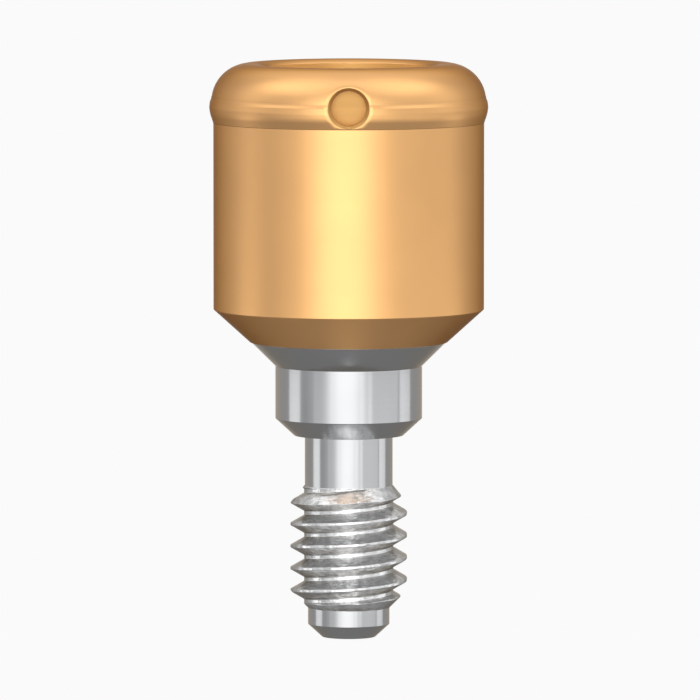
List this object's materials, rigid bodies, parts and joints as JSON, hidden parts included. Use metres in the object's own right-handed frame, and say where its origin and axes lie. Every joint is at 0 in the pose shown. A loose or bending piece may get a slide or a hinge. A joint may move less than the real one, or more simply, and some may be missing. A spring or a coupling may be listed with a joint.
{
  "type": "dental abutment",
  "caption": "Straight one-piece attachment abutment that screws into a dental implant and carries a removable denture on its coated head.",
  "frame": {"origin": "on the axis at the platform edge, where the coated cuff ends and the bare seat for the implant begins", "axes": "+Z along the axis towards the head, -Y towards the recess in the side of the head, +X to the right of it"},
  "size_m": [0.0044, 0.0044, 0.0091],
  "materials": {
    "coated_titanium": "fine-turned titanium alloy under a hard satin gold nitride coating",
    "bare_titanium": "fine-turned bare titanium alloy, semi-bright"
  },
  "bodies": {
    "root": {"abutment": "coated_titanium"}
  },
  "joints": []
}
